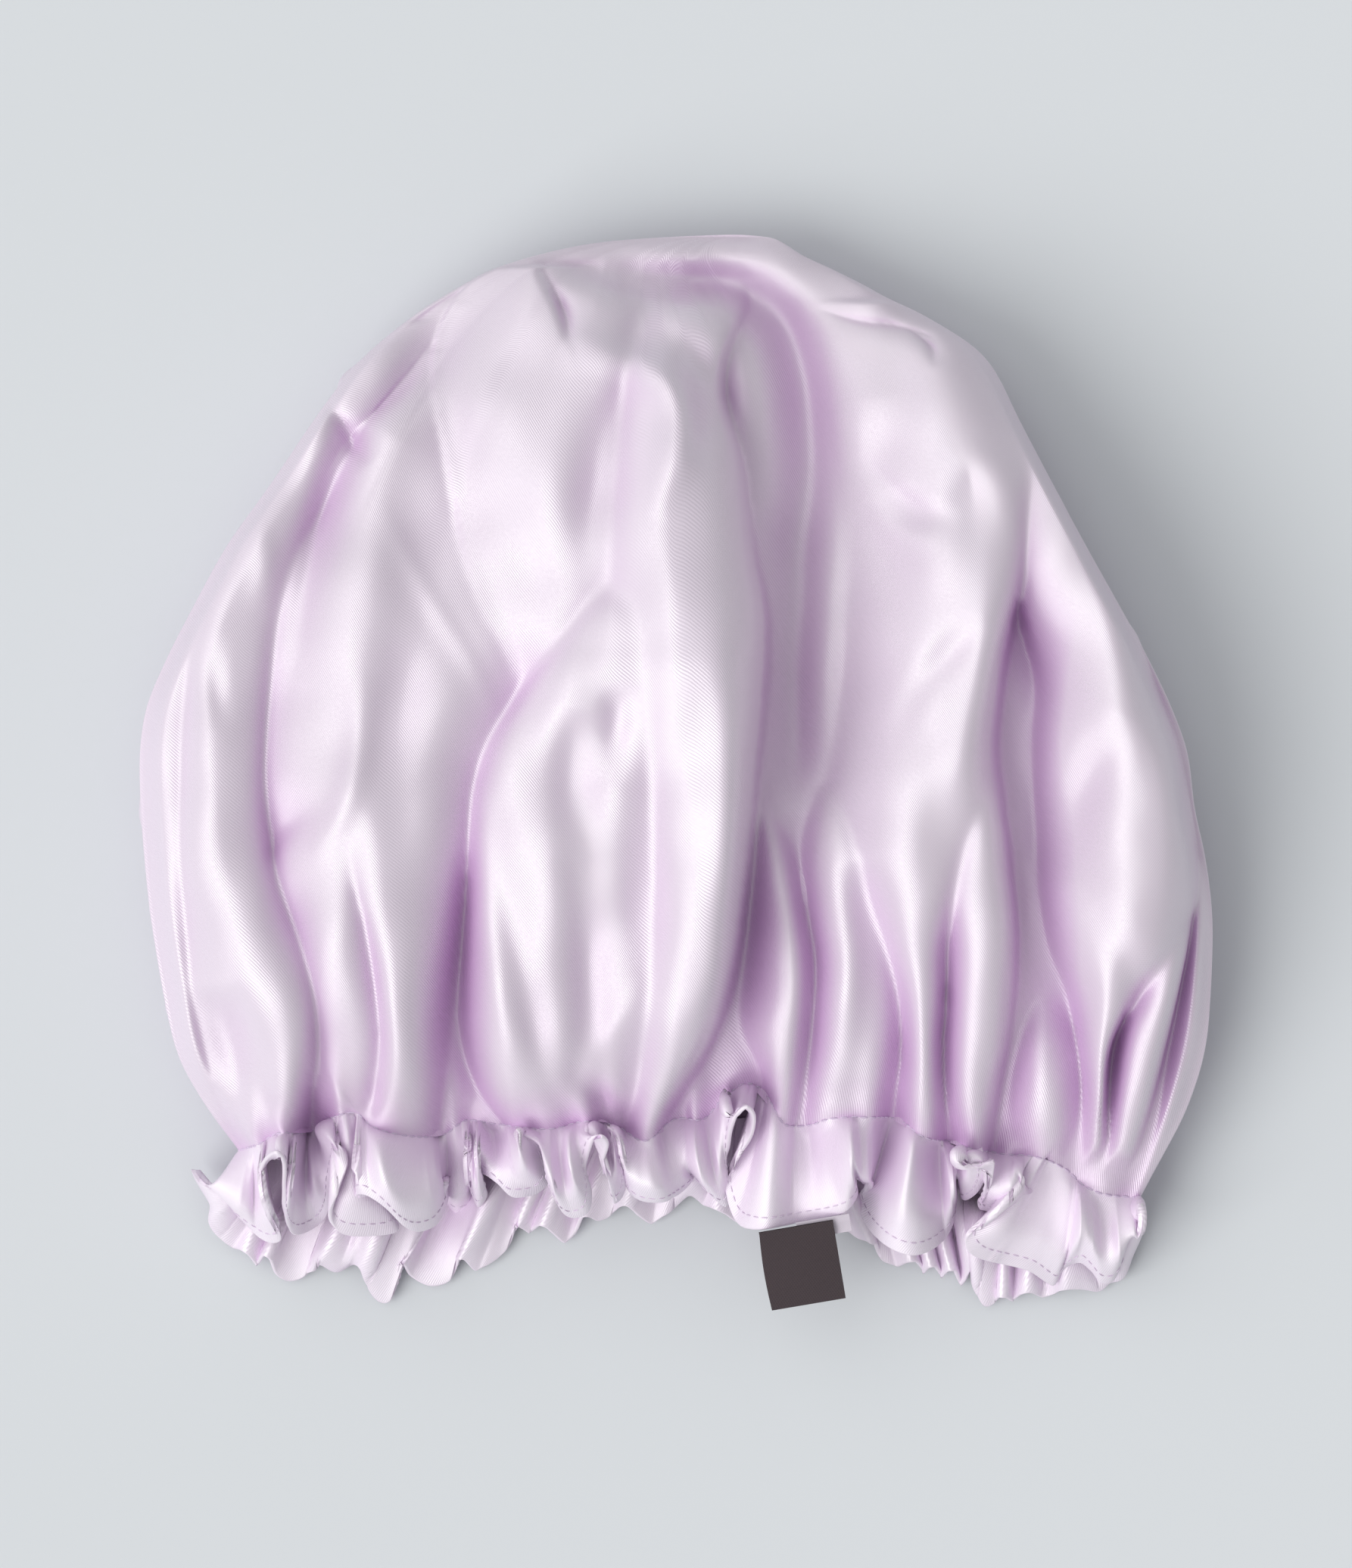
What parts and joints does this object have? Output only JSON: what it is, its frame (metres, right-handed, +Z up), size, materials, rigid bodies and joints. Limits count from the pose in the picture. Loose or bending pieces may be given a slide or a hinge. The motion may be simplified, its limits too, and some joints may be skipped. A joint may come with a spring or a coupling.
{
  "type": "satin sleep cap",
  "caption": "Loose, puffed satin sleep cap with a gathered elastic hem, a ruffled edge and a small dark label, lying flat with its mouth to the front.",
  "frame": {"origin": "On the flat face under the crown, where it lies on the table, below the middle of the cap", "axes": "+Z up from the table, -Y out of the mouth, +X to the right seen from above with the mouth towards the viewer"},
  "size_m": [0.2976, 0.3007, 0.0795],
  "materials": {
    "satin": "glossy lilac satin",
    "lining": "glossy lilac satin",
    "elastic": "matte woven elastic",
    "thread": "polyester thread",
    "label_cloth": "dark woven twill",
    "care_tape": "pale satin tape"
  },
  "bodies": {
    "cap": {"outer_crown": "satin", "inner_lining": "lining", "gathered_hem": "satin", "elastic_band": "elastic", "elastic_tack": "thread", "hem_stitching": "thread", "edge_stitching": "thread"},
    "label": {"woven_label": "label_cloth", "care_label": "care_tape"}
  },
  "joints": [
    {"name": "label_flap", "type": "hinge", "parent": "cap", "child": "label", "pos_m": [0.034, -0.12725, 0.02985], "axis": [-0.9848, -0.1736, 0], "range_deg": [-25, 125], "stiffness_Nm_per_rad": 0.001}
  ]
}
